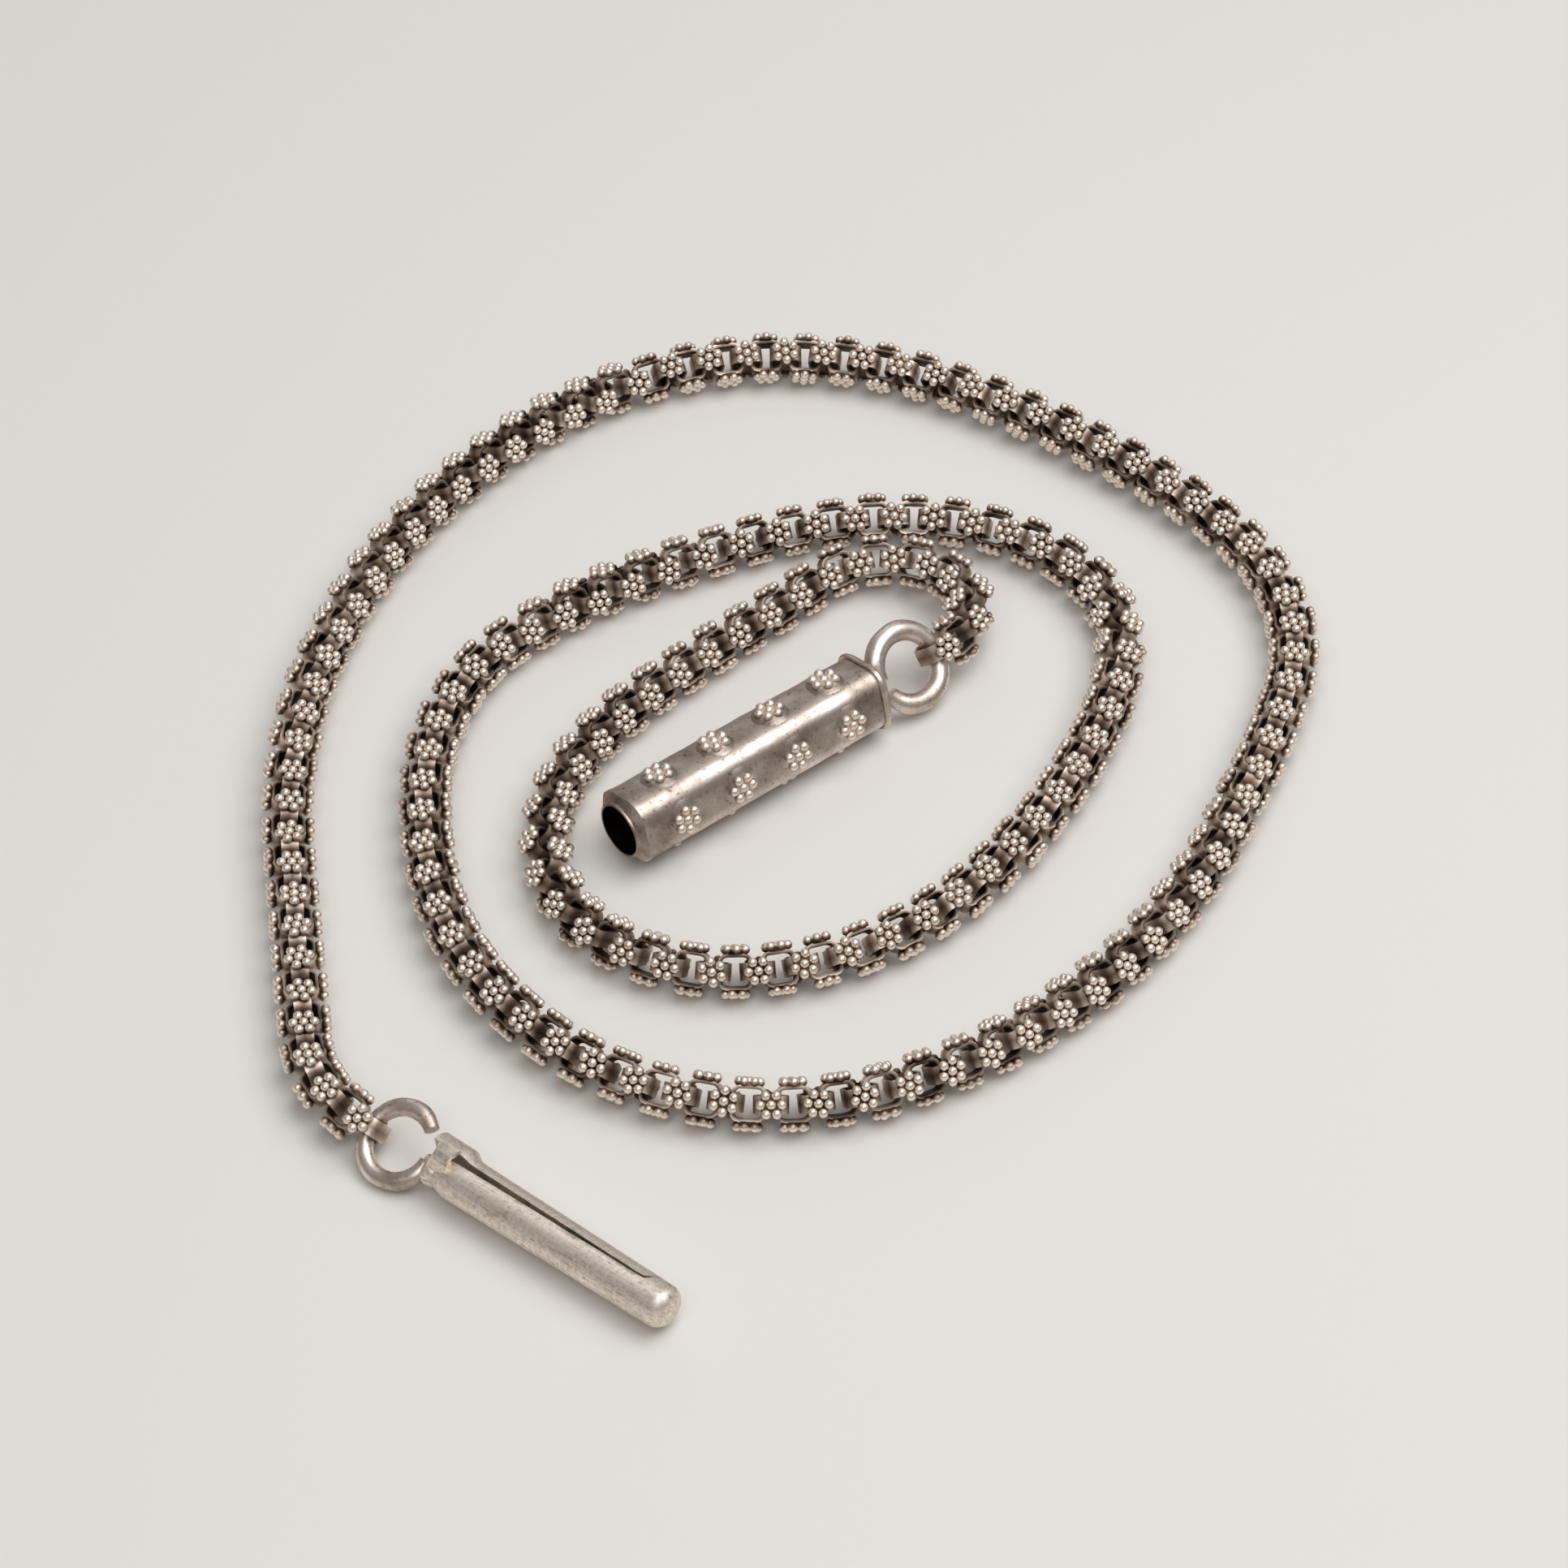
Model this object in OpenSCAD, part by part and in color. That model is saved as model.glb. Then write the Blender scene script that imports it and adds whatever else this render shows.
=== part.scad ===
// Old silver watch chain: hooked strip links with granulated rosettes, laid in a spiral,
// with a snap clasp: a square barrel on the inner end and a sprung tongue on the outer end.
// Sizes in mm. Z is up and the chain lies on the plane z = 0.

/* [Links] */
// distance from each link to the next
link_pitch = 1.75; // [1.72:0.01:1.85]
// play between two hooked links
link_play = 0.45; // [0.43:0.01:0.55]
// thickness of the silver strip
strip_t = 0.3; // [0.25:0.01:0.34]
// width of the silver strip
strip_w = 1.4; // [1.3:0.01:1.5]
// height of a link over its strips
link_h = 2.9; // [2.85:0.05:3.2]
// outer radius of a link's corners
link_corner = 0.75; // [0.7:0.01:0.8]

/* [Rosettes] */
// diameter of a granule
grain_d = 0.82; // [0.74:0.01:0.84]
// gap between neighbouring granules
grain_gap = 0.03; // [0.01:0.01:0.04]
// depth that a granule sinks into its plate
grain_sink = 0.32; // [0.28:0.01:0.34]
// thickness of the plate under a link's rosette
plate_t = 0.36; // [0.36:0.01:0.4]
// depth that the plate sinks into its link
plate_sink = 0.03; // [0.02:0.01:0.04]
// edge of the plate round the granules
plate_edge = 0.03; // [0.02:0.01:0.05]

/* [Rings] */
// diameter of the ring wire
wire_d = 1.5; // [1.3:0.05:1.6]
// ring diameter at the middle of its wire
ring_d = 5.9; // [5.6:0.1:6.4]
// gap between a ring's wire and the edges of its link's strip
wire_gap = 0.15; // [0.12:0.01:0.2]
// room for the ring wire in its link
wire_play = 0.55; // [0.5:0.05:0.8]
// gap left between a ring and the clasp's face
ring_gap = 0.1; // [0.05:0.05:0.3]

/* [Barrel] */
// length of the square tube
tube_len = 24.2; // [22:0.1:26]
// side of the square tube
tube_side = 5.7; // [5.6:0.05:5.9]
// radius of the tube's corners
tube_corner = 1.3; // [1:0.05:1.3]
// bore that takes the tongue
bore_d = 4.4; // [4.1:0.05:4.5]
// thickness of the plate at the mouth
mouth_t = 0.95; // [0.8:0.05:1.2]
// bevel round the mouth plate
mouth_bevel = 0.55; // [0.4:0.05:0.65]
// height of the lip round the mouth
lip_h = 0.35; // [0.2:0.05:0.6]
// wall of the lip round the mouth
lip_t = 0.22; // [0.15:0.01:0.25]
// thickness of the end cap
cap_t = 1.1; // [0.9:0.05:1.4]
// overhang of the end cap's rim
cap_rim = 0.18; // [0.1:0.01:0.25]
// bevel of the end cap's rim
cap_bevel = 0.35; // [0.2:0.05:0.4]
// distance between the barrel's rosettes
boss_step = 5.75; // [4:0.05:6]
// diameter of a barrel rosette's plate at its foot
boss_d = 3; // [2.6:0.1:3]
// thickness of a barrel rosette's plate
boss_h = 0.4; // [0.36:0.02:0.5]
// diameter of a granule on the barrel
boss_grain = 0.72; // [0.66:0.01:0.74]

/* [Tongue] */
// diameter of the folded tongue
tongue_d = 3.6; // [3.5:0.05:3.75]
// length of the tongue from its ring to its tip
tongue_len = 23.1; // [20:0.1:24]
// rounding of the tip
tip_r = 1.2; // [0.8:0.1:1.5]
// distance of the split from the tongue's middle
split_y = 0.45; // [0.3:0.05:0.6]
// slit between arm and leaf when closed
slit = 0.15; // [0.1:0.01:0.2]
// angle that the leaf springs open
leaf_open = 1.2; // [0.8:0.1:2.2]
// distance of the fold from the tip
fold_in = 2.6; // [2.2:0.1:3.5]
// clearance round the fold
fold_gap = 0.08; // [0.06:0.01:0.12]
// length of the thumb piece from the ring to the catch
thumb_len = 2.7; // [2:0.1:4]
// overhang of the thumb piece over the ring
thumb_over = 0.8; // [0.4:0.1:0.9]
// height of the catch step
catch_h = 0.5; // [0.3:0.05:0.6]

/* [Hidden] */
$fn = 72;

// how far each length of chain turns to the right, in degrees, from the tongue inwards
turns = [45, 0, 0, 10, 10, 9, 11, 10, 14, 19, 21, 19, 9, 7, 10, 28, 27,
         5, 4, 12, 12, 11, 21, 24, 23, 20, 18, 12, 20, 28, 13, 6, 15,
         25, 34, 45, 17, 9, 12, 20, 26, 38, 43, 34, 19, 4, 0, 79, 90];
// roll of the chain about its own line, in degrees, at some of its links
rolls = [[0, 32], [6, 0], [18, -5], [24, -20], [36, -50], [54, -75], [58, -30], [84, -25], [90, -28],
         [96, -5], [102, 6], [114, 38], [126, 50], [138, 46], [162, 18], [174, -10], [184, -70], [193, -42],
         [210, -35], [218, -68], [230, -72], [246, -45], [258, -35], [266, -52], [272, -45]];
start_heading = 142;
end_turn = 15;
rise_links = 14;

per_length = 6;
lengths = len(turns);
last = per_length * lengths + 1;

link_l = link_pitch + 2 * strip_t + link_play;
end_l = wire_d + wire_play + 3 * strip_t + link_play;
end_half = end_l / 2 - strip_t - link_play / 2;
ring_in = ring_d / 2 - wire_d / 2;
ring_sag = ring_in - sqrt(ring_in * ring_in - strip_w * strip_w / 4);
hook_x = end_l / 2 - strip_t - wire_gap - ring_sag - wire_d / 2;
ring_x = hook_x + ring_d / 2;

grain_ring = grain_d + grain_gap;
grain_side = grain_ring * sin(60);
grain_lift = grain_d / 2 - grain_sink;
plate_d = 2 * (grain_ring + grain_d / 2 + plate_edge);
plate_z = link_h / 2 - plate_sink + plate_t;
boss_ring = boss_grain + grain_gap;
boss_lift = boss_grain / 2 - grain_sink;

face_x = ring_d / 2 + wire_d / 2 + ring_gap;
tube_x = face_x + cap_t;
mouth_x = tube_x + tube_len;
cap_side = tube_side + 2 * cap_rim;
barrel_roll = 59;
barrel_lean = 14;

tip_x = face_x + tongue_len;
fold_x = tip_x - fold_in;
leaf_t = tongue_d / 2 - split_y - slit;
fold_y = tongue_d / 2 - leaf_t / 2;
catch_x = face_x + thumb_len;
tongue_twist = -23;
ring_opening = 52;

// the roll of link i: every other link is turned a quarter
function chain_roll(i) = lookup(i, rolls);
function link_roll(i) = chain_roll(i) + 90 * (i % 2);

// height of the chain's line above the table at a roll
function lean(a) = min(abs(a) % 90, 90 - abs(a) % 90);
function rest_z(a) = (plate_z + grain_lift) * cos(lean(a)) + grain_side * sin(lean(a)) + grain_d / 2;
function ease(x) = x <= 0 ? 0 : x >= 1 ? 1 : x * x * (3 - 2 * x);
barrel_z = (tube_side / 2 + boss_h + boss_lift) * cos(barrel_lean)
         + boss_ring * sin(barrel_lean) + boss_grain / 2;
barrel_lift = barrel_z - rest_z(chain_roll(last));
function line_z(i) = rest_z(chain_roll(i)) + barrel_lift * ease((i - last + rise_links) / (rise_links - 1));
function slope(i) = atan2(line_z(min(i + 1, last)) - line_z(max(i - 1, 0)), 2 * link_pitch);

// the chain's line, link by link, from the tongue inwards
function bend(i) = i >= last - 1 ? end_turn : turns[floor(i / per_length)] / per_length;
headings = [for (i = 0, h = start_heading; i <= last; h = h - bend(i), i = i + 1) h];
function half(i) = i == 0 || i == last ? end_half : link_pitch / 2;
function along(i) = [cos(headings[i]), sin(headings[i])];
line = [for (i = 0, c = [0, 0]; i <= last;
             c = i < last ? c + half(i) * along(i) + half(i + 1) * along(i + 1) : c, i = i + 1) c];

// the box of the laid chain and its tongue, to set the middle of the box at the origin
line_x = [for (c = line) c[0]];
line_y = [for (c = line) c[1]];
tip_y = line[0][1] - (ring_x + tip_x - tip_r) * along(0)[1] - tip_r;
chain_edge = plate_z + grain_lift + grain_d / 2;
middle = [(min(line_x) + max(line_x)) / 2, (tip_y + max(line_y) + 0.9 * chain_edge) / 2];
function spot(i) = [line[i][0] - middle[0], line[i][1] - middle[1], line_z(i)];

silver = "#b8aa98";

// rounded rectangle, drawn about its middle
module slab(l, h, r) {
    square([l - 2 * r, h], center = true);
    square([l, h - 2 * r], center = true);
    for (x = [-1, 1], y = [-1, 1])
        translate([x * (l / 2 - r), y * (h / 2 - r)])
            circle(r);
}

// places of a rosette's granules: one in the middle and six in a ring
function flower(r) = concat([[0, 0]], [for (a = [0 : 60 : 300]) r * [cos(a), sin(a)]]);

// one link: a strip bent to a loop, with a plate and seven granules on its two outer faces
module link(l) {
    union() {
        rotate([90, 0, 0])
            linear_extrude(strip_w, center = true)
                difference() {
                    slab(l, link_h, link_corner);
                    slab(l - 2 * strip_t, link_h - 2 * strip_t, link_corner - strip_t);
                }
        for (side = [-1, 1])
            translate([0, 0, side * (plate_z - plate_t / 2)])
                cylinder(d = plate_d, h = plate_t, center = true);
        for (side = [-1, 1], g = flower(grain_ring))
            translate([g[0], g[1], side * (plate_z + grain_lift)])
                sphere(grain_d / 2);
    }
}

module at_link(i) {
    translate(spot(i))
        rotate([0, -slope(i), headings[i]])
            rotate([-link_roll(i), 0, 0])
                children();
}

module chain_length(k) {
    color(silver)
        for (i = [per_length * (k - 1) + 1 : per_length * k])
            at_link(i)
                link(link_l);
}

module end_link_tongue() {
    color(silver)
        at_link(0)
            link(end_l);
}

module end_link_barrel() {
    color(silver)
        at_link(last)
            link(end_l);
}

// open wire ring with the solder pad that joins it to a clasp half
module ring(opening) {
    rotate([0, 0, opening])
        rotate_extrude(angle = 360 - opening)
            translate([ring_d / 2, 0])
                circle(wire_d / 2);
    translate([ring_d / 2, 0, 0])
        rotate([0, 90, 0])
            cylinder(r = wire_d * 0.62, h = wire_d / 2 + ring_gap);
}

// the tongue's place: its ring hooks on the first link and lies in that link's plane
module at_tongue() {
    at_link(0)
        translate([-ring_x, 0, 0])
            rotate([0, 0, 180])
                children();
}

// the folded tongue as one round bar with a rounded tip
module tongue_bar(d) {
    translate([face_x, 0, 0])
        rotate([0, 90, 0])
            rotate_extrude()
                intersection() {
                    union() {
                        square([d / 2, tongue_len - tip_r]);
                        square([d / 2 - tip_r, tongue_len]);
                        translate([d / 2 - tip_r, tongue_len - tip_r])
                            circle(tip_r);
                    }
                    square([d / 2, tongue_len]);
                }
}

module tongue_arm() {
    color(silver)
        at_tongue()
            rotate([tongue_twist, 0, 0]) {
                difference() {
                    tongue_bar(tongue_d);
                    translate([0, split_y, -tongue_d])
                        cube([fold_x, tongue_d, 2 * tongue_d]);
                    translate([fold_x, fold_y, -tongue_d])
                        cylinder(r = leaf_t / 2 + fold_gap, h = 2 * tongue_d);
                }
                translate([face_x, -tongue_d / 4, tongue_d / 4])
                    cube([wire_d / 2, tongue_d / 3, tongue_d * 0.4]);
            }
}

module leaf_blank(d, x0, x1) {
    intersection() {
        translate([x0, 0, 0])
            rotate([0, 90, 0])
                cylinder(d = d, h = x1 - x0);
        translate([x0, split_y + slit, -d])
            cube([x1 - x0, d, 2 * d]);
    }
}

module tongue_leaf() {
    color(silver)
        at_tongue()
            rotate([tongue_twist, 0, 0])
                translate([fold_x, fold_y, 0])
                    rotate([0, 0, -leaf_open])
                        translate([-fold_x, -fold_y, 0]) {
                            leaf_blank(tongue_d, face_x - thumb_over, fold_x);
                            leaf_blank(tongue_d + 2 * catch_h, face_x - thumb_over, catch_x);
                            intersection() {
                                tongue_bar(tongue_d);
                                translate([fold_x, fold_y, -tongue_d])
                                    cylinder(r = leaf_t / 2, h = 2 * tongue_d);
                            }
                        }
}

// the tongue's ring, with its solder pad filed flat under the leaf
module tongue_ring() {
    color(silver)
        at_tongue()
            difference() {
                ring(ring_opening);
                rotate([tongue_twist, 0, 0])
                    translate([ring_d / 2, split_y, -tongue_d])
                        cube([tongue_d, tongue_d, 2 * tongue_d]);
            }
}

// the barrel's place: its ring hooks on the last link and lies in that link's plane
module at_barrel() {
    at_link(last)
        translate([ring_x, 0, 0])
            children();
}

// along the barrel from x, with its faces turned to their roll
module barrel_from(x) {
    at_barrel()
        translate([x, 0, 0])
            rotate([barrel_roll, 0, 0])
                rotate([0, 90, 0])
                    children();
}

// square plate with a bevel at its far edges
module bevelled(side, corner, t, bevel) {
    difference() {
        linear_extrude(t)
            slab(side, side, corner);
        for (a = [0 : 90 : 270])
            rotate([0, 0, a])
                translate([side / 2, 0, t - bevel])
                    rotate([0, -45, 0])
                        translate([0, -side, -side])
                            cube([side, 2 * side, 2 * side]);
    }
}

module barrel_tube() {
    color(silver)
        barrel_from(tube_x)
            linear_extrude(tube_len)
                difference() {
                    slab(tube_side, tube_side, tube_corner);
                    circle(d = bore_d);
                }
}

module barrel_mouth() {
    color(silver)
        barrel_from(mouth_x)
            difference() {
                union() {
                    bevelled(tube_side, tube_corner, mouth_t, mouth_bevel);
                    cylinder(d = bore_d + 2 * lip_t, h = mouth_t + lip_h);
                }
                translate([0, 0, -1])
                    cylinder(d = bore_d, h = mouth_t + lip_h + 2);
            }
}

module barrel_cap() {
    color(silver)
        barrel_from(tube_x)
            rotate([180, 0, 0])
                bevelled(cap_side, tube_corner + cap_rim, cap_t, cap_bevel);
}

module barrel_rosettes() {
    color(silver)
        barrel_from(tube_x + tube_len / 2)
            for (a = [0 : 90 : 270], s = [-1.5 : 1 : 1.5])
                rotate([0, 0, a])
                    translate([tube_side / 2, 0, s * boss_step])
                        rotate([0, 90, 0]) {
                            cylinder(d1 = boss_d, d2 = 2 * boss_ring + boss_grain, h = boss_h);
                            for (g = flower(boss_ring))
                                translate([g[0], g[1], boss_h + boss_lift])
                                    sphere(boss_grain / 2);
                        }
}

module barrel_ring() {
    color(silver)
        at_barrel()
            ring(ring_opening / 2);
}

for (k = [1 : lengths])
    chain_length(k);
end_link_tongue();
end_link_barrel();
tongue_arm();
tongue_leaf();
tongue_ring();
barrel_tube();
barrel_mouth();
barrel_cap();
barrel_rosettes();
barrel_ring();
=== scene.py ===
"""Looks of an old silver watch chain with a snap clasp, dressed round its CAD frame."""

import math

import bmesh
import bpy
from mathutils import Euler, Matrix, Vector, noise


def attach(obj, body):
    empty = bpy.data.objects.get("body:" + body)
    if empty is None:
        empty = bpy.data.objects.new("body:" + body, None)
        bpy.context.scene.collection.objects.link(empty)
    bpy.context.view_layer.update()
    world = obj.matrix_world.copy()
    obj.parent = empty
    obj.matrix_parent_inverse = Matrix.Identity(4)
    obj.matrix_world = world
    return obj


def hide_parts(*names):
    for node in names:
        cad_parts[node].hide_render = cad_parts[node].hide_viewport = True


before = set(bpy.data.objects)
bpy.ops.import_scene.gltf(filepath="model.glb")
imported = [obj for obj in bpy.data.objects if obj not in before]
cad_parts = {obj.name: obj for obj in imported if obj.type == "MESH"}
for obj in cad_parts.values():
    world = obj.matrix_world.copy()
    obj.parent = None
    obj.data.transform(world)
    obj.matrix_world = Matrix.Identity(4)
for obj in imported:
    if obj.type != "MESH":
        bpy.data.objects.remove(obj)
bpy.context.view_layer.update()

MM = 0.001

# Sizes of the links and their rosettes, in mm
link_pitch = 1.75
link_play = 0.45
strip_t = 0.3
strip_w = 1.4
link_h = 2.9
link_corner = 0.75
grain_d = 0.82
grain_ring = 0.85
grain_sink = 0.32
plate_t = 0.36
plate_sink = 0.03
plate_spread = 1.1
dent = 0.05
dent_width = 0.9
chain_dent = 1.4 * dent
# the rosettes sit this much lower, so that no dented granule reaches below the table
rosette_drop = 1.6 * dent

# How much of each face of a link's strip is rubbed bright, from 0 to 1; the low values are painted shade as
# well as tarnish, darkest inside the loop
edge_wear_shade = 0.46
face_wear_shade = 0.2
inside_wear_shade = 0.06

# Seeds of the rosettes' random turns
length_seed_step = 11
end_link_seed = 700
barrel_seed = 4

# Sizes of the rings, in mm; the opening in degrees; thinning, wear and waver as shares of the wire
wire_d = 1.5
ring_d = 5.9
wire_gap = 0.15
wire_play = 0.55
ring_gap = 0.1
ring_opening = 52
ring_end_share = 0.82
ring_taper = 0.17
ring_waver = 0.03
hook_wear = 0.13
neck_in = 0.2
neck_share = 0.42
neck_flare = 0.2

# Sizes of the barrel, in mm and degrees
tube_len = 24.2
tube_side = 5.7
bore_d = 4.4
mouth_t = 0.95
mouth_bevel = 0.55
lip_h = 0.35
lip_t = 0.22
cap_t = 1.1
cap_rim = 0.18
boss_step = 5.75
boss_h = 0.4
# the solids' granules, which hold the barrel off the table
boss_grain = 0.72
boss_ring = 0.75
# the corners, domes, granules and solder that show
worn_corner = 1.7
mouth_corner = worn_corner * 0.7
mouth_fold = 0.1
dome_d = 3.5
dome_sink = 0.15
flower_grain = 0.9
flower_ring = 0.95
flower_sink = 0.11
pad_spread = 1.2
pad_low = 0.2
pad_high = 0.6
barrel_wire_d = 1.8
barrel_foot = 1.2
barrel_roll = 59
barrel_lean = 14

# Sizes of the tongue, in mm and degrees
tongue_d = 3.6
tongue_len = 23.1
tip_r = 1.2
split_y = 0.45
slit = 0.15
leaf_open = 1.2
fold_in = 2.6
thumb_len = 2.7
thumb_over = 0.8
catch_h = 0.5
tongue_twist = -23
arm_fold = 0.4
leaf_fold = 0.6
fold_len = 0.9
leaf_end = 0.25
leaf_end_t = 0.25
catch_slope = 0.3
root_share = 0.74
root_len = 2
ridge_depth = 0.07
ridge_at = 105
slit_fade = 0.4
lump_middle = (0.1, -0.35, 0)
lump_size = (1.0, 1.25, 1.35)
lump_waver = 0.16

# The laid line: how far each length of six links turns to the right, and the chain's roll at some links
turns = [45, 0, 0, 10, 10, 9, 11, 10, 14, 19, 21, 19, 9, 7, 10, 28, 27,
         5, 4, 12, 12, 11, 21, 24, 23, 20, 18, 12, 20, 28, 13, 6, 15,
         25, 34, 45, 17, 9, 12, 20, 26, 38, 43, 34, 19, 4, 0, 79, 90]
rolls = [(0, 32), (6, 0), (18, -5), (24, -20), (36, -50), (54, -75), (58, -30), (84, -25), (90, -28),
         (96, -5), (102, 6), (114, 38), (126, 50), (138, 46), (162, 18), (174, -10), (184, -70), (193, -42),
         (210, -35), (218, -68), (230, -72), (246, -45), (258, -35), (266, -52), (272, -45)]
start_heading = 142
end_turn = 15
rise_links = 14
per_length = 6

last = per_length * len(turns) + 1
link_l = link_pitch + 2 * strip_t + link_play
end_l = wire_d + wire_play + 3 * strip_t + link_play
end_half = end_l / 2 - strip_t - link_play / 2
ring_in = ring_d / 2 - wire_d / 2
ring_sag = ring_in - math.sqrt(ring_in ** 2 - strip_w ** 2 / 4)
hook_x = end_l / 2 - strip_t - wire_gap - ring_sag - wire_d / 2
ring_x = hook_x + ring_d / 2
face_x = ring_d / 2 + wire_d / 2 + ring_gap
tube_x = face_x + cap_t
mouth_x = tube_x + tube_len
tip_x = face_x + tongue_len
fold_x = tip_x - fold_in
catch_x = face_x + thumb_len
leaf_t = tongue_d / 2 - split_y - slit
fold_y = tongue_d / 2 - leaf_t / 2
plate_z = link_h / 2 - plate_sink + plate_t
grain_lift = grain_d / 2 - grain_sink
rosette_z = plate_z + grain_lift - rosette_drop


def chain_roll(i):
    """Roll of the chain about its own line at link i, in degrees."""
    for (low, a), (high, b) in zip(rolls, rolls[1:]):
        if i <= high:
            return a + (b - a) * (i - low) / (high - low)
    return rolls[-1][1]


def rest_z(roll):
    """Height of the chain's line above the table at a roll."""
    lean = math.radians(min(abs(roll) % 90, 90 - abs(roll) % 90))
    side = grain_ring * math.sin(math.radians(60))
    return (plate_z + grain_lift) * math.cos(lean) + side * math.sin(lean) + grain_d / 2


def ease(x):
    x = min(max(x, 0), 1)
    return x * x * (3 - 2 * x)


def line_z(i):
    """Height of the chain's line at link i: it lies on the table, and rises to the barrel at the end."""
    lean = math.radians(barrel_lean)
    boss_lift = boss_grain / 2 - grain_sink
    face_z = (tube_side / 2 + boss_h + boss_lift) * math.cos(lean)
    barrel_z = face_z + boss_ring * math.sin(lean) + boss_grain / 2
    lift = barrel_z - rest_z(chain_roll(last))
    return rest_z(chain_roll(i)) + lift * ease((i - last + rise_links) / (rise_links - 1))


def laid_links():
    """Place (mm) and Euler turn (radians) of every link, from the tongue inwards.
    The middle of the whole box is at 0, 0."""
    headings = [start_heading]
    for i in range(last):
        headings.append(headings[-1] - (end_turn if i >= last - 1 else turns[i // per_length] / per_length))
    half = [end_half] + [link_pitch / 2] * (last - 1) + [end_half]
    along = [Vector((math.cos(math.radians(h)), math.sin(math.radians(h)))) for h in headings]
    line = [Vector((0, 0))]
    for i in range(last):
        line.append(line[-1] + half[i] * along[i] + half[i + 1] * along[i + 1])
    xs = [p.x for p in line]
    ys = [p.y for p in line]
    tip_y = line[0].y - (ring_x + tip_x - tip_r) * along[0].y - tip_r
    edge = plate_z + grain_lift + grain_d / 2
    middle = Vector(((min(xs) + max(xs)) / 2, (tip_y + max(ys) + 0.9 * edge) / 2))
    links = []
    for i in range(last + 1):
        rise = line_z(min(i + 1, last)) - line_z(max(i - 1, 0))
        slope = math.atan2(rise, 2 * link_pitch)
        roll = math.radians(chain_roll(i) + 90 * (i % 2))
        place = (line[i] - middle).to_3d() + Vector((0, 0, line_z(i)))
        links.append((place, Euler((-roll, -slope, math.radians(headings[i])))))
    return links


links = laid_links()


def at_link(i):
    place, turn = links[i]
    return Matrix.Translation(place) @ turn.to_matrix().to_4x4()


at_barrel = at_link(last) @ Matrix.Translation((ring_x, 0, 0))
at_faces = at_barrel @ Matrix.Rotation(math.radians(barrel_roll), 4, "X")
at_tongue = at_link(0) @ Matrix.Translation((-ring_x, 0, 0)) @ Matrix.Rotation(math.pi, 4, "Z")
at_arm = at_tongue @ Matrix.Rotation(math.radians(tongue_twist), 4, "X")
at_fold = (Matrix.Translation((fold_x, fold_y, 0)) @ Matrix.Rotation(math.radians(-leaf_open), 4, "Z")
           @ Matrix.Translation((-fold_x, -fold_y, 0)))
at_leaf = at_arm @ at_fold


def linear(colour):
    """An sRGB hex colour as linear RGBA."""
    parts = [int(colour[k:k + 2], 16) / 255 for k in (1, 3, 5)]
    return [c / 12.92 if c <= 0.04045 else ((c + 0.055) / 1.055) ** 2.4 for c in parts] + [1]


def add(tree, kind, inputs=(), **settings):
    """Add a node with its settings, and link or set its inputs."""
    node = tree.nodes.new(kind)
    for key, value in settings.items():
        setattr(node, key, value)
    for key, value in dict(inputs).items():
        if isinstance(value, bpy.types.NodeSocket):
            tree.links.new(value, node.inputs[key])
        else:
            node.inputs[key].default_value = value
    return node


def new_material(name):
    """An empty material with its metal shader: the tree, the shader and the object's coordinates."""
    material = bpy.data.materials.new(name)
    material.use_nodes = True
    tree = material.node_tree
    tree.nodes.clear()
    shader = add(tree, "ShaderNodeBsdfPrincipled", {"Metallic": 1.0})
    add(tree, "ShaderNodeOutputMaterial", {"Surface": shader.outputs["BSDF"]})
    place = add(tree, "ShaderNodeTexCoord").outputs["Object"]
    return material, tree, shader, place


def ramp(tree, value, stops):
    """Colours along a value: stops are (position, hex colour)."""
    node = add(tree, "ShaderNodeValToRGB", {"Fac": value})
    while len(node.color_ramp.elements) < len(stops):
        node.color_ramp.elements.new(1)
    for element, (position, colour) in zip(node.color_ramp.elements, stops):
        element.position = position
        element.color = linear(colour)
    return node.outputs["Color"]


def granulated_silver():
    """Old silver granules: bright and smooth where worn, brown-black sulphide in the recesses, and painted
    shade on the granules' sides and feet and inside the links.
    """
    material, tree, shader, place = new_material("granulated_silver")
    crest = add(tree, "ShaderNodeAttribute", attribute_name="crest").outputs["Fac"]
    tone = add(tree, "ShaderNodeAttribute", attribute_name="tone").outputs["Fac"]
    # blotches of tarnish about 1.5 mm wide
    blotch = add(tree, "ShaderNodeTexNoise", {"Vector": place, "Scale": 1 / (1.5 * MM), "Detail": 4.0})
    worn = add(tree, "ShaderNodeMath", {0: blotch.outputs["Fac"], 1: 0.5, 2: crest},
               operation="MULTIPLY_ADD")
    worn = add(tree, "ShaderNodeMath", {0: tone, 1: 0.22, 2: worn.outputs[0]}, operation="MULTIPLY_ADD")
    # the dark end of this ramp is partly real sulphide and partly painted shade on the granules' sides and
    # feet
    colour = ramp(tree, worn.outputs[0],
                  [(0.3, "#2A2018"), (0.52, "#7A685C"), (0.8, "#C9B5A5"), (1.0, "#F8EBDF")])
    tree.links.new(colour, shader.inputs["Base Color"])
    polish = add(tree, "ShaderNodeMapRange", {"Value": worn.outputs[0], "From Min": 0.3, "From Max": 1.1,
                                              "To Min": 0.6, "To Max": 0.42})
    tree.links.new(polish.outputs["Result"], shader.inputs["Roughness"])
    # fine pitting, 0.15 mm
    pit = add(tree, "ShaderNodeTexNoise", {"Vector": place, "Scale": 1 / (0.15 * MM), "Detail": 2.0})
    bump = add(tree, "ShaderNodeBump",
               {"Strength": 0.25, "Distance": 0.02 * MM, "Height": pit.outputs["Fac"]})
    tree.links.new(bump.outputs["Normal"], shader.inputs["Normal"])
    return material


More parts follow.
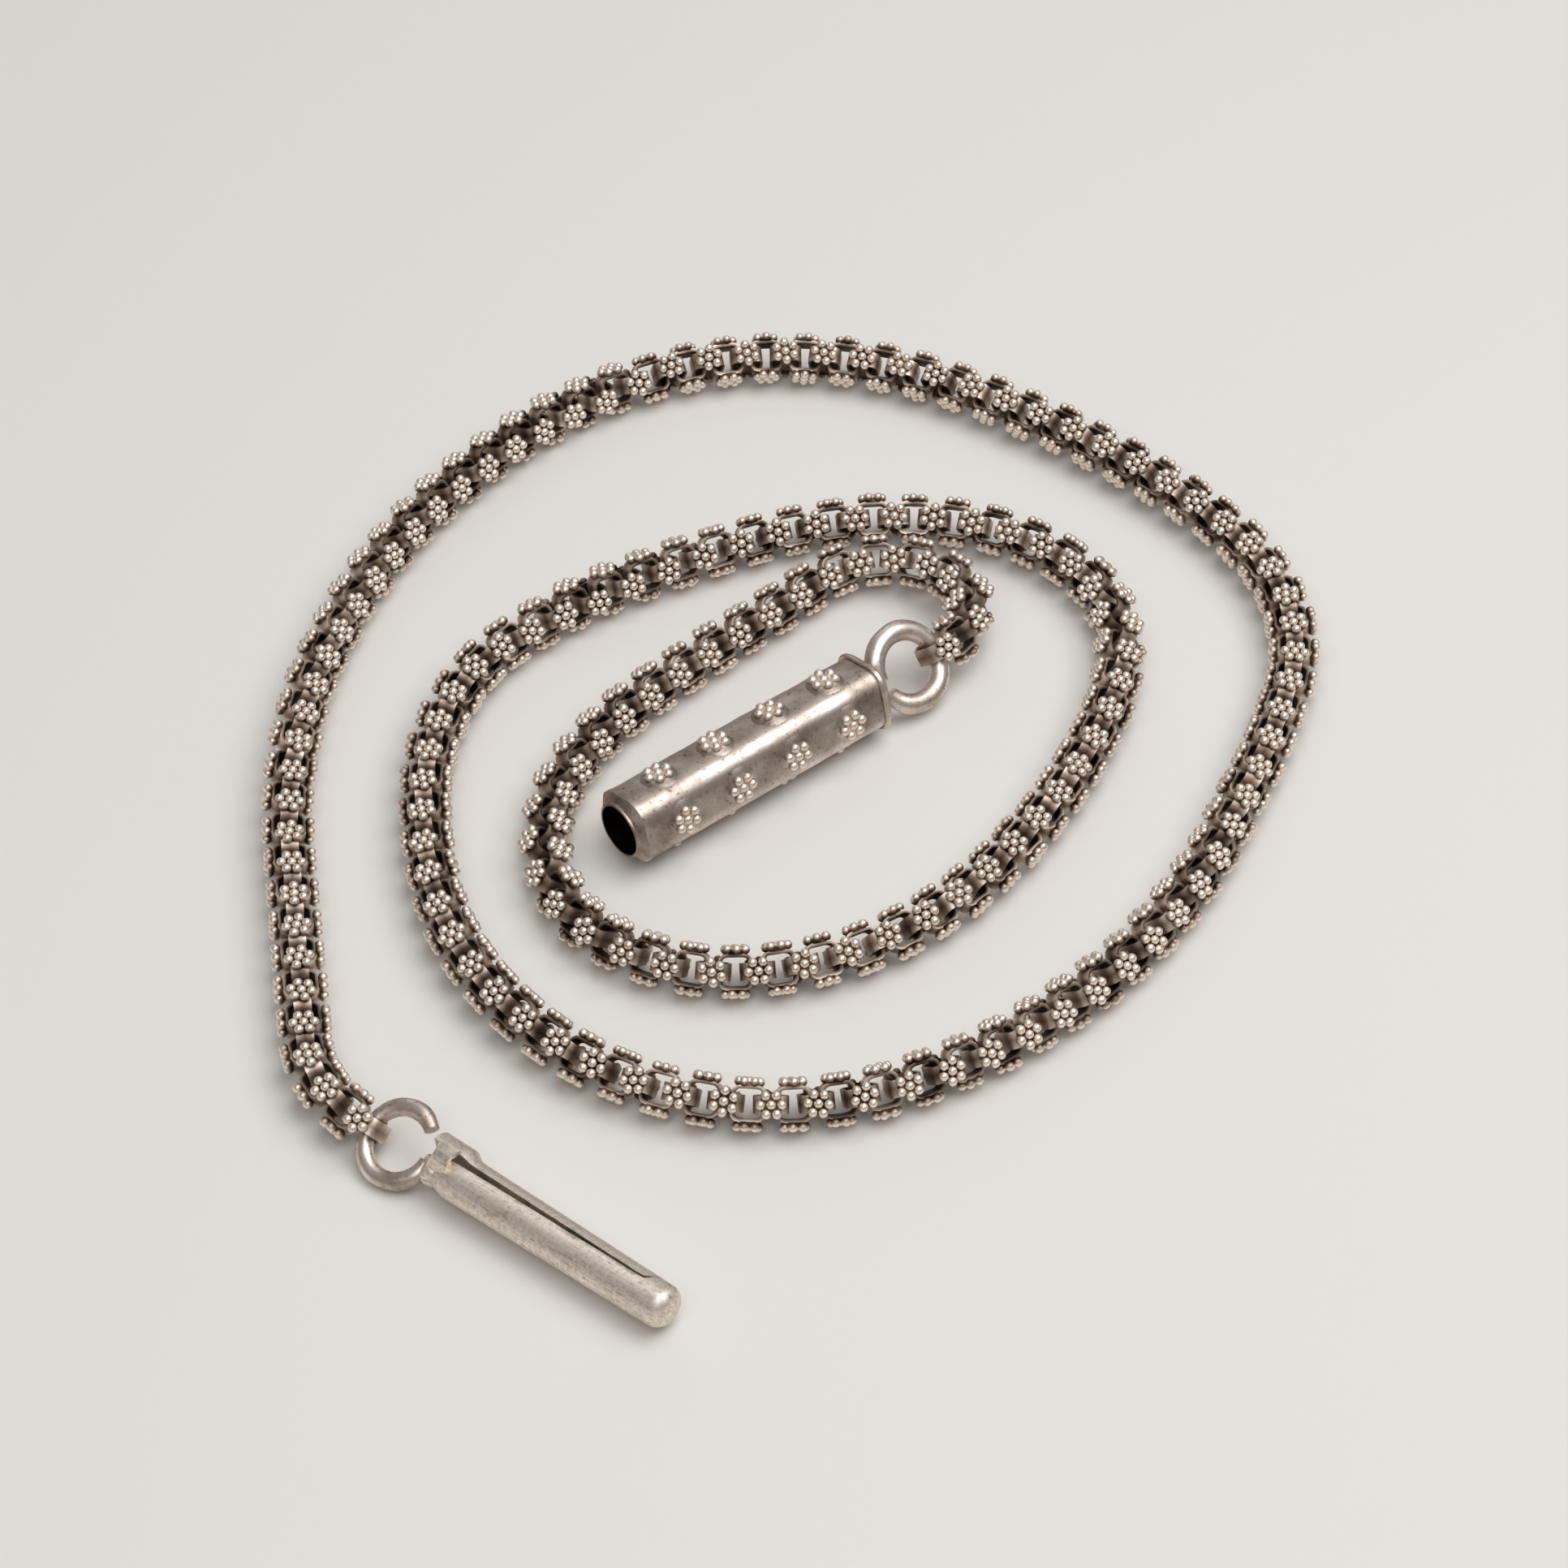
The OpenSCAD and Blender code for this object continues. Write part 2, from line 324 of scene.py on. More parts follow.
def barrel_silver():
    """Rolled silver sheet, handled for years: rosy and polished, with smoky clouds and small pits."""
    material, tree, shader, place = new_material("barrel_silver")
    # clouds of tarnish about 4 mm wide, with finer ones in them
    cloud = add(tree, "ShaderNodeTexNoise",
                {"Vector": place, "Scale": 1 / (4 * MM), "Detail": 6.0, "Roughness": 0.6})
    metal = ramp(tree, cloud.outputs["Fac"], [(0.3, "#A6978C"), (0.46, "#DACBC0"), (0.66, "#FAF0E8")])
    # brown tarnish and painted shade on the flats, rubbed off along the corners so that these read as bright
    # streaks
    tarnish_and_shade = add(tree, "ShaderNodeAttribute", attribute_name="tarnish_and_shade").outputs["Fac"]
    cover = add(tree, "ShaderNodeMath", {0: tarnish_and_shade, 1: 0.5}, operation="MULTIPLY")
    toned = add(tree, "ShaderNodeMix", {"Factor": cover.outputs[0], 6: metal, 7: linear("#54463D")},
                data_type="RGBA")
    # pits about 0.3 mm wide, and black painted shade inside the bore
    pit = add(tree, "ShaderNodeTexNoise", {"Vector": place, "Scale": 1 / (0.3 * MM), "Detail": 2.0})
    bore = add(tree, "ShaderNodeAttribute", attribute_name="bore").outputs["Fac"]
    dark = add(tree, "ShaderNodeMapRange", {"Value": pit.outputs["Fac"], "From Min": 0.6, "From Max": 0.72,
                                            "To Min": 0.0, "To Max": 0.55})
    dark = add(tree, "ShaderNodeMath", {0: dark.outputs["Result"], 1: bore}, operation="MAXIMUM")
    colour = add(tree, "ShaderNodeMix",
                 {"Factor": dark.outputs[0], 6: toned.outputs[2], 7: linear("#33291F")}, data_type="RGBA")
    tree.links.new(colour.outputs[2], shader.inputs["Base Color"])
    polish = add(tree, "ShaderNodeMapRange", {"Value": cloud.outputs["Fac"], "From Min": 0.3, "From Max": 0.7,
                                              "To Min": 0.52, "To Max": 0.32})
    tree.links.new(polish.outputs["Result"], shader.inputs["Roughness"])
    # hand-worked ripples about 1.2 mm wide
    ripple = add(tree, "ShaderNodeTexNoise", {"Vector": place, "Scale": 1 / (1.2 * MM), "Detail": 5.0})
    bump = add(tree, "ShaderNodeBump",
               {"Strength": 0.35, "Distance": 0.06 * MM, "Height": ripple.outputs["Fac"]})
    tree.links.new(bump.outputs["Normal"], shader.inputs["Normal"])
    return material


def tongue_silver():
    """Filed and rubbed silver strip: grey, scratched along its length, with verdigris in the slit."""
    material, tree, shader, place = new_material("tongue_silver")
    slit_near = add(tree, "ShaderNodeAttribute", attribute_name="slit").outputs["Fac"]
    heading = links[0][1].z + math.pi
    lengthwise = add(tree, "ShaderNodeMapping", {"Vector": place, "Rotation": (0, 0, -heading)})
    # scratches 0.12 mm apart and about 3 mm long
    scratch_size = add(tree, "ShaderNodeVectorMath", {0: lengthwise.outputs["Vector"], 1: (0.04, 1, 1)},
                       operation="MULTIPLY")
    scratch = add(tree, "ShaderNodeTexNoise",
                  {"Vector": scratch_size.outputs["Vector"], "Scale": 1 / (0.12 * MM), "Detail": 3.0})
    # speckled wear about 0.35 mm wide
    speckle = add(tree, "ShaderNodeTexNoise", {"Vector": place, "Scale": 1 / (0.35 * MM), "Detail": 8.0,
                                               "Roughness": 0.7})
    worn = add(tree, "ShaderNodeMath", {0: scratch.outputs["Fac"], 1: 0.6, 2: speckle.outputs["Fac"]},
               operation="MULTIPLY_ADD")
    metal = ramp(tree, worn.outputs[0], [(0.54, "#A89789"), (0.72, "#DED1C4"), (0.96, "#FAF3EA")])
    # verdigris patches about 2 mm wide, thickest at the slit
    patch = add(tree, "ShaderNodeTexNoise", {"Vector": place, "Scale": 1 / (2 * MM), "Detail": 5.0})
    green = add(tree, "ShaderNodeMath", {0: slit_near, 1: 0.2, 2: patch.outputs["Fac"]},
                operation="MULTIPLY_ADD")
    cover = add(tree, "ShaderNodeMapRange", {"Value": green.outputs[0], "From Min": 0.62, "From Max": 0.78,
                                             "To Min": 0.0, "To Max": 0.6})
    colour = add(tree, "ShaderNodeMix", {"Factor": cover.outputs["Result"], 6: metal, 7: linear("#6C7A58")},
                 data_type="RGBA")
    tree.links.new(colour.outputs[2], shader.inputs["Base Color"])
    polish = add(tree, "ShaderNodeMapRange", {"Value": worn.outputs[0], "From Min": 0.5, "From Max": 1.0,
                                              "To Min": 0.64, "To Max": 0.44})
    tree.links.new(polish.outputs["Result"], shader.inputs["Roughness"])
    bump = add(tree, "ShaderNodeBump", {"Strength": 0.3, "Distance": 0.03 * MM, "Height": worn.outputs[0]})
    tree.links.new(bump.outputs["Normal"], shader.inputs["Normal"])
    return material


chain_finish = granulated_silver()
barrel_finish = barrel_silver()
tongue_finish = tongue_silver()


def loft(bm, rings, closed=False):
    """Skin through rings of points; the ends are filled, or joined to each other where closed."""
    skin = [[bm.verts.new(p) for p in ring] for ring in rings]
    pairs = list(zip(skin, skin[1:] + skin[:1])) if closed else list(zip(skin, skin[1:]))
    for one, two in pairs:
        for k in range(len(one)):
            bm.faces.new((one[k - 1], one[k], two[k], two[k - 1]))
    if not closed:
        bm.faces.new(skin[0])
        bm.faces.new(reversed(skin[-1]))


def finish_mesh(bm, at, sharp=35):
    """The bmesh's pieces, in mm, as a mesh in the object's frame, in metres."""
    bmesh.ops.recalc_face_normals(bm, faces=bm.faces)
    bm.transform(Matrix.Scale(MM, 4) @ at)
    mesh = bpy.data.meshes.new("mesh")
    bm.to_mesh(mesh)
    bm.free()
    mesh.shade_smooth()
    mesh.set_sharp_from_angle(angle=math.radians(sharp))
    return mesh


def place_piece(name, mesh, material, body, slot, *nodes):
    """A mesh as a finished piece on its body, in place of its CAD nodes."""
    mesh.name = name
    mesh.materials.clear()
    mesh.materials.append(material)
    piece = bpy.data.objects.new(name, mesh)
    bpy.context.collection.objects.link(piece)
    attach(piece, body)
    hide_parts(*nodes)
    return piece


def rounded_square(side, corner, steps=6):
    """Outline of a rounded square, as (y, z) points: a corner arc and a flat, four times."""
    middle = side / 2 - corner
    points = []
    for k in range(4):
        turn = Matrix.Rotation(k * math.pi / 2, 2)
        for j in range(steps + 1):
            a = j / steps * math.pi / 2
            points.append(turn @ Vector((middle + corner * math.cos(a), middle + corner * math.sin(a))))
        for j in range(1, steps):
            points.append(turn @ Vector((middle - 2 * middle * j / steps, side / 2)))
    return points


def like_circle(points, radius):
    """Points on a circle, in the same directions as others."""
    return [p.normalized() * radius for p in points]


def across(x, points):
    """Points across the X axis at x."""
    return [Vector((x, p[0], p[1])) for p in points]


def strip_loop(length):
    """A link's strip bent to a loop, with the solder plates under its rosettes.
    Its attribute marks what gets rubbed bright, and paints shade on the face and the inside of the loop."""
    steps = 3
    bm = bmesh.new()
    crest = bm.verts.layers.float.new("crest")

    def loop(l, h, r):
        points = []
        for sx, sz, start in ((1, 1, 0), (-1, 1, 90), (-1, -1, 180), (1, -1, 270)):
            for j in range(steps + 1):
                a = math.radians(start + 90 * j / steps)
                points.append((sx * (l / 2 - r) + r * math.cos(a), sz * (h / 2 - r) + r * math.sin(a)))
        return points

    outer = loop(length, link_h, link_corner)
    inner = loop(length - 2 * strip_t, link_h - 2 * strip_t, link_corner - strip_t)
    # each side's value: rubbed edges stay bright, with painted shade on the face and the inside of the loop
    sides = [(outer, -1, edge_wear_shade), (outer, 0, face_wear_shade), (outer, 1, edge_wear_shade),
             (inner, 1, inside_wear_shade), (inner, -1, inside_wear_shade)]
    loft(bm, [[Vector((x, s * strip_w / 2, z)) for x, z in ring] for ring, s, rub in sides], closed=True)
    rubbed = [rub for ring, s, rub in sides for point in ring]
    for v, rub in zip(bm.verts, rubbed):
        v[crest] = rub
    for side in (-1, 1):
        foot = link_h / 2 - 2 * plate_sink
        rings = [[Vector((r * math.cos(a), r * math.sin(a), side * z))
                  for a in (k * math.pi / 6 for k in range(12))]
                 for r, z in ((grain_ring * plate_spread, foot), (grain_ring, rosette_z - grain_d / 5))]
        loft(bm, rings)
    return finish_mesh(bm, Matrix.Identity(4))


def rosette_tree():
    """Seven granules in a flower, at a height. Their attribute runs from 0 at a granule's foot to 1 at its
    top, for wear on the tops and painted shade down the sides.
    """
    tree = bpy.data.node_groups.new("rosette", "GeometryNodeTree")
    for name in ("Granule Diameter", "Ring Radius", "Height"):
        tree.interface.new_socket(name, in_out="INPUT", socket_type="NodeSocketFloat")
    tree.interface.new_socket("Geometry", in_out="OUTPUT", socket_type="NodeSocketGeometry")
    sizes = add(tree, "NodeGroupInput").outputs
    flower = add(tree, "GeometryNodeMeshCircle", {"Vertices": 6, "Radius": sizes["Ring Radius"]},
                 fill_type="TRIANGLE_FAN")
    radius = add(tree, "ShaderNodeMath", {0: sizes["Granule Diameter"], 1: 0.5},
                 operation="MULTIPLY").outputs[0]
    ball = add(tree, "GeometryNodeMeshUVSphere", {"Segments": 10, "Rings": 6, "Radius": radius})
    position = add(tree, "GeometryNodeInputPosition").outputs[0]
    height = add(tree, "ShaderNodeSeparateXYZ", {0: position}).outputs["Z"]
    share = add(tree, "ShaderNodeMath", {0: height, 1: sizes["Granule Diameter"]},
                operation="DIVIDE").outputs[0]
    crest = add(tree, "ShaderNodeMath", {0: share, 1: 0.5}, operation="ADD").outputs[0]
    ball = add(tree, "GeometryNodeStoreNamedAttribute", {"Geometry": ball.outputs["Mesh"], "Name": "crest",
                                                         "Value": crest}, data_type="FLOAT", domain="POINT")
    ball = add(tree, "GeometryNodeSetShadeSmooth", {"Geometry": ball.outputs[0]})
    balls = add(tree, "GeometryNodeInstanceOnPoints",
                {"Points": flower.outputs[0], "Instance": ball.outputs[0]})
    lift = add(tree, "ShaderNodeCombineXYZ", {"Z": sizes["Height"]}).outputs[0]
    raised = add(tree, "GeometryNodeTransform", {"Geometry": balls.outputs[0], "Translation": lift})
    add(tree, "NodeGroupOutput", {"Geometry": raised.outputs[0]})
    return tree


def dressed_tree(name, flips):
    """Bases set on points, each with a rosette on the sides that flips gives (turns about X, in radians)."""
    tree = bpy.data.node_groups.new(name, "GeometryNodeTree")
    kinds = {"Geometry": "Geometry", "Base": "Object", "Granule Diameter": "Float", "Ring Radius": "Float",
             "Height": "Float", "Dent": "Float", "Dent Width": "Float", "Seed": "Int", "Finish": "Material"}
    for key, kind in kinds.items():
        tree.interface.new_socket(key, in_out="INPUT", socket_type="NodeSocket" + kind)
    tree.interface.new_socket("Geometry", in_out="OUTPUT", socket_type="NodeSocketGeometry")
    given = add(tree, "NodeGroupInput").outputs
    turn = add(tree, "GeometryNodeInputNamedAttribute", {"Name": "turn"}, data_type="FLOAT_VECTOR").outputs[0]
    turn = add(tree, "FunctionNodeEulerToRotation", {0: turn}).outputs[0]
    base = add(tree, "GeometryNodeObjectInfo", {"Object": given["Base"]}).outputs["Geometry"]
    rosette = add(tree, "GeometryNodeGroup", node_tree=rosette_group)
    for key in ("Granule Diameter", "Ring Radius", "Height"):
        tree.links.new(given[key], rosette.inputs[key])
    joined = add(tree, "GeometryNodeJoinGeometry")
    bases = add(tree, "GeometryNodeInstanceOnPoints", {"Points": given["Geometry"], "Instance": base,
                                                       "Rotation": turn})
    tree.links.new(bases.outputs[0], joined.inputs[0])
    for k, flip in enumerate(flips):
        seed = add(tree, "ShaderNodeMath", {0: given["Seed"], 1: float(k)}, operation="ADD").outputs[0]
        spin = add(tree, "FunctionNodeRandomValue", {3: math.tau, 8: seed}, data_type="FLOAT").outputs[1]
        spin = add(tree, "ShaderNodeCombineXYZ", {"X": flip, "Z": spin}).outputs[0]
        spin = add(tree, "FunctionNodeEulerToRotation", {0: spin}).outputs[0]
        spin = add(tree, "FunctionNodeRotateRotation", {0: turn, 1: spin}, rotation_space="LOCAL").outputs[0]
        size = add(tree, "FunctionNodeRandomValue", {2: 0.95, 3: 1.0, 8: seed}, data_type="FLOAT").outputs[1]
        flowers = add(tree, "GeometryNodeInstanceOnPoints",
                      {"Points": given["Geometry"], "Instance": rosette.outputs[0],
                       "Rotation": spin, "Scale": size})
        tree.links.new(flowers.outputs[0], joined.inputs[0])
    tone = add(tree, "FunctionNodeRandomValue", {8: given["Seed"]}, data_type="FLOAT").outputs[1]
    toned = add(tree, "GeometryNodeStoreNamedAttribute",
                {"Geometry": joined.outputs[0], "Name": "tone", "Value": tone},
                data_type="FLOAT", domain="INSTANCE")
    real = add(tree, "GeometryNodeRealizeInstances", {"Geometry": toned.outputs[0]}).outputs[0]
    grain = add(tree, "ShaderNodeMath", {0: 1.0, 1: given["Dent Width"]}, operation="DIVIDE").outputs[0]
    dents = add(tree, "ShaderNodeTexNoise", {"W": given["Seed"], "Scale": grain, "Detail": 0.0},
                noise_dimensions="4D").outputs["Color"]
    dents = add(tree, "ShaderNodeVectorMath", {0: dents, 1: (0.5, 0.5, 0.5)},
                operation="SUBTRACT").outputs[0]
    dents = add(tree, "ShaderNodeVectorMath", {0: dents, "Scale": given["Dent"]},
                operation="SCALE").outputs[0]
    dented = add(tree, "GeometryNodeSetPosition", {"Geometry": real, "Offset": dents}).outputs[0]
    done = add(tree, "GeometryNodeSetMaterial", {"Geometry": dented, "Material": given["Finish"]}).outputs[0]
    add(tree, "NodeGroupOutput", {"Geometry": done})
    return tree


rosette_group = rosette_tree()
links_tree = dressed_tree("hooked_links", (0.0, math.pi))
bosses_tree = dressed_tree("barrel_bosses", (0.0,))


def grow(tree, places, settings):
    """Run a tree on points with turns, and return its result as a plain mesh."""
    mesh = bpy.data.meshes.new("points")
    mesh.from_pydata([p * MM for p, turn in places], [], [])
    euler = mesh.attributes.new("turn", "FLOAT_VECTOR", "POINT")
    for item, (p, turn) in zip(euler.data, places):
        item.vector = turn
    seedbed = bpy.data.objects.new("points", mesh)
    bpy.context.collection.objects.link(seedbed)
    modifier = seedbed.modifiers.new("grow", "NODES")
    modifier.node_group = tree
    for item in tree.interface.items_tree:
        if item.in_out == "INPUT" and item.name in settings:
            modifier[item.identifier] = settings[item.name]
    seen = seedbed.evaluated_get(bpy.context.evaluated_depsgraph_get())
    grown = bpy.data.meshes.new_from_object(seen)
    bpy.data.objects.remove(seedbed)
    return grown


def base_object(name, mesh):
    """An object that a tree sets on its points, removed once they are grown."""
    base = bpy.data.objects.new(name, mesh)
    bpy.context.collection.objects.link(base)
    return base


def chain():
    """Every length of links, and the two longer end links."""
    strip = base_object("strip", strip_loop(link_l))
    long_strip = base_object("long_strip", strip_loop(end_l))
    settings = {"Granule Diameter": grain_d * MM, "Ring Radius": grain_ring * MM, "Height": rosette_z * MM,
                "Dent": chain_dent * MM, "Dent Width": dent_width * MM, "Finish": chain_finish}
    for k in range(len(turns)):
        first = per_length * k + 1
        own = settings | {"Base": strip, "Seed": length_seed_step * k}
        mesh = grow(links_tree, links[first:first + per_length], own)
        number = "%02d" % (k + 1)
        place_piece("links_" + number, mesh, chain_finish, "length_" + number, "chain_silver",
                    "chain_" + number)
    for i, body, node in ((0, "outer_end_link", "end_link_tongue"),
                          (last, "inner_end_link", "end_link_barrel")):
        own = settings | {"Base": long_strip, "Seed": end_link_seed + i}
        mesh = grow(links_tree, links[i:i + 1], own)
        place_piece("piece_" + node, mesh, chain_finish, body, "chain_silver", node)
    bpy.data.objects.remove(strip)
    bpy.data.objects.remove(long_strip)


def round_steps(count):
    """Angles of count even steps round a circle."""
    return [math.tau * j / count for j in range(count)]


def wire_ring(bm, opening, wire, foot):
    """An open ring of hand-drawn wire, thinner towards its ends and where the end link rubs it.
    The solder neck that holds it spreads by foot along the clasp half."""
    start = math.radians(opening)
    steps = 56
    taper_steps = 6
    rings = []
    for k in range(steps + 1):
        a = start + (math.tau - start) * k / steps
        out = Vector((math.cos(a), math.sin(a), 0))
        near_end = min(k, steps - k) / taper_steps
        thick = wire / 2 * (ring_end_share + ring_taper * ease(near_end))
        thick *= 1 + ring_waver * noise.noise(out * 2.3)
        thick *= 1 - hook_wear * max(0, -out.x) ** 4
        rings.append([out * (ring_in + thick * (1 + math.cos(t))) + Vector((0, 0, thick * math.sin(t)))
                      for t in round_steps(16)])
    loft(bm, rings)
    neck_x = ring_d / 2 - neck_in
    neck_steps = 6
    neck = []
    for k in range(neck_steps + 1):
        x = k / neck_steps
        r = wire_d * (neck_share + neck_flare * x * x)
        wide = r + foot * x ** 3
        outline = [Vector((wide * math.cos(t), r * math.sin(t))) for t in round_steps(20)]
        neck.append(across(neck_x + x * (face_x - neck_x), outline))
    loft(bm, neck)


def beaten(p, depth=0.035, width=2.2):
    """A point of hand-worked sheet, pushed a little in or out across the barrel."""
    push = 1 - depth * (0.5 + 0.5 * noise.noise(p / width))
    return Vector((p.x, p.y * push, p.z * push))


def boss_places():
    """Where the rosettes sit on the tube's faces, four to a face."""
    return [Matrix.Translation((tube_x + tube_len / 2 + s * boss_step, 0, 0))
            @ Matrix.Rotation(face * math.pi / 2, 4, "X") @ Matrix.Translation((0, 0, tube_side / 2))
            for face in range(4) for s in (-1.5, -0.5, 0.5, 1.5)]


def mark_barrel(mesh):
    """bore is 1 on the walls of the bore, which are painted dark as shade.
    The other mark is 1 on the flats of the faces, for brown tarnish and painted shade, and 0 on the corners
    and domes, which hands rubbed."""
    bore = mesh.attributes.new("bore", "FLOAT", "POINT")
    tarnish_and_shade = mesh.attributes.new("tarnish_and_shade", "FLOAT", "POINT")
    back = (Matrix.Scale(MM, 4) @ at_faces).inverted()
    half = tube_side / 2
    wall = bore_d / 2 + 0.02
    flat_share = 0.38
    fade_share = 0.36
    dome_fade = 0.35
    for dark, tarnish_shade_value, v in zip(bore.data, tarnish_and_shade.data, mesh.vertices):
        p = back @ v.co
        low, high = sorted((abs(p.y), abs(p.z)))
        # painted shade: the bore's walls are marked to be coloured near black
        dark.value = 1 if p.yz.length < wall else 0
        on_flat = 1 - ease((low / half - flat_share) / fade_share)
        # painted shade and brown tarnish on the flats, fading off the corners and domes
        tarnish_shade_value.value = on_flat * (1 - ease((high - half) / dome_fade))


def barrel():
    """The barrel's tube with its domes, its mouth, its cap and its ring."""
    square = rounded_square(tube_side, worn_corner)
    bore = like_circle(square, bore_d / 2)
    bm = bmesh.new()
    tube_steps = 40
    xs = [tube_x + tube_len * k / tube_steps for k in range(tube_steps + 1)]
    outer = [[beaten(p) for p in across(x, square)] for x in xs]
    inner = [across(x, bore) for x in reversed(xs)]
    loft(bm, outer + inner, closed=True)
    dome_steps = 8
    for at in boss_places():
        dome = []
        for k in range(dome_steps):
            share = 1 - k / dome_steps
            r = dome_d / 2 * share
            z = (boss_h + dome_sink) * (1 - share ** 2) - dome_sink
            dome.append([at @ Vector((r * math.cos(t), r * math.sin(t), z)) for t in round_steps(24)])
        loft(bm, dome)
    mesh = finish_mesh(bm, at_faces)
    mark_barrel(mesh)
    place_piece("tube", mesh, barrel_finish, "barrel", "clasp_silver", "barrel_tube")

    bm = bmesh.new()
    narrow = rounded_square(tube_side - 2 * mouth_bevel, mouth_corner)
    lip_r = bore_d / 2 + lip_t
    lip = like_circle(square, lip_r)
    edge = like_circle(square, lip_r - lip_t / 2)
    folded = [p if p.length > lip_r else p.normalized() * lip_r for p in narrow]
    front = mouth_x + mouth_t
    lip_side = front + lip_h * 0.5
    lip_top = front + lip_h * 0.7
    rings = [(mouth_x, square), (front - mouth_bevel, square), (front - mouth_fold, folded), (front, lip),
             (lip_side, lip), (lip_top, edge), (lip_side, bore), (mouth_x, bore)]
    loft(bm, [across(x, points) for x, points in rings], closed=True)
    mesh = finish_mesh(bm, at_faces)
    mark_barrel(mesh)
    place_piece("mouth", mesh, barrel_finish, "barrel", "clasp_silver", "barrel_mouth")

    bm = bmesh.new()
    rim = tube_side + 2 * cap_rim
    # from the tube outwards: distance from the tube's end, width of the cap there
    steps = [(0, tube_side), (0, rim - 0.25), (0.1, rim - 0.06), (0.25, rim), (0.42, rim - 0.02),
             (0.65, rim - 0.32), (0.95, rim - 1.05), (cap_t - 0.04, rim - 1.4), (cap_t, rim - 1.7)]
    rings = [across(tube_x - t, rounded_square(side, worn_corner)) for t, side in steps]
    loft(bm, rings)
    mesh = finish_mesh(bm, at_faces)
    mark_barrel(mesh)
    place_piece("cap", mesh, barrel_finish, "barrel", "clasp_silver", "barrel_cap")

    bm = bmesh.new()
    wire_ring(bm, ring_opening / 2, barrel_wire_d, barrel_foot)
    place_piece("wire_ring_barrel", finish_mesh(bm, at_barrel), barrel_finish, "barrel", "clasp_silver",
                "barrel_ring")


def barrel_bosses():
    """The rosettes on the barrel, each with the solder that holds its granules."""
    bm = bmesh.new()
    # the pads' attribute stays 0: brown tarnish and painted shade at the rosettes' feet
    bm.verts.layers.float.new("crest")
    solder = [[Vector((r * math.cos(t), r * math.sin(t), z)) for t in round_steps(12)]
              for r, z in ((flower_ring * pad_spread, boss_h * pad_low), (flower_ring, boss_h * pad_high))]
    loft(bm, solder)
    pad = base_object("pad", finish_mesh(bm, Matrix.Identity(4)))
    places = [((at_faces @ at).to_translation(), (at_faces @ at).to_euler()) for at in boss_places()]
    settings = {"Granule Diameter": flower_grain * MM, "Ring Radius": flower_ring * MM,
                "Height": (boss_h - flower_sink) * MM,
                "Dent": dent * MM, "Dent Width": dent_width * MM, "Finish": chain_finish,
                "Base": pad, "Seed": barrel_seed}
    mesh = grow(bosses_tree, places, settings)
    bpy.data.objects.remove(pad)
    place_piece("barrel_flowers", mesh, chain_finish, "barrel", "clasp_silver", "barrel_rosettes")


def solder_lump(bm, middle, radii):
    """A rough lump of solder."""
    lump = bmesh.ops.create_icosphere(bm, subdivisions=3, radius=1)["verts"]
    for v in lump:
        v.co *= 1 + lump_waver * noise.noise(v.co * 2.1)
        v.co = middle + v.co * radii


def bar_section(radius, low, high, count=20):
    """Outline across a hammered round bar between two levels of y, with a soft ridge along each side."""
    low = max(low, -radius)
    high = min(high, radius)
    start = math.acos(high / radius)
    stop = math.acos(low / radius)
    arc = [start + (stop - start) * k / count for k in range(count + 1)]
    right = []
    for a in arc:
        ridge = 0.5 - 0.5 * math.cos(4 * (a - math.radians(ridge_at)))
        flat = radius * (1 - ridge_depth * ridge)
        right.append(Vector((radius * math.cos(a), flat * math.sin(a))))
    left = [Vector((p.x, -p.y)) for p in reversed(right)]
    return right + left


def tip_radius(x):
    """Radius of the round bar at x: full along its length, rounded at the tip."""
    over = max(x - (tip_x - tip_r), 0)
    return tongue_d / 2 - tip_r + math.sqrt(max(tip_r ** 2 - over ** 2, 0))


def folded_tab(bm):
    """The tab at the arm's root, beaten thin and folded up in front of the leaf."""
    # along the fold: y, z, turn towards y in degrees, place along the arm, width, thickness
    folds = [(-0.4, 1.0, 0, 0.8, 2.2, 1.0),
             (-0.3, 1.8, 5, 0.85, 1.7, 0.85),
             (-0.05, 2.38, 40, 0.95, 1.4, 0.6),
             (0.45, 2.68, 78, 1.1, 1.6, 0.5),
             (0.95, 2.78, 70, 1.15, 1.85, 0.4)]
    rings = []
    for y, z, turn, along, wide, thick in folds:
        a = math.radians(turn)
        off = Vector((0, math.cos(a), -math.sin(a))) * thick / 2
        middle = Vector((face_x + along, y, z))
        side = Vector((wide / 2, 0, 0))
        rings.append([middle + side + off, middle - side + off, middle - side - off, middle + side - off])
    loft(bm, rings)


def file_flat(bm, turn):
    """Files the solder between the ring and the catch flat under the leaf; turn leads to the arm's frame."""
    back = turn.inverted()
    for v in bm.verts:
        p = turn @ v.co
        if ring_d / 2 < p.x < catch_x:
            v.co = back @ Vector((p.x, min(p.y, split_y), p.z))


def mark_slit(mesh, at):
    """slit is 1 at the cut faces of the folded tongue and fades to 0 within slit_fade."""
    level = mesh.attributes.new("slit", "FLOAT", "POINT")
    back = (Matrix.Scale(MM, 4) @ at).inverted()
    for item, v in zip(level.data, mesh.vertices):
        p = back @ v.co
        item.value = max(0, 1 - abs(p.y - split_y) / slit_fade) if abs(p.z) < tongue_d / 2 else 0


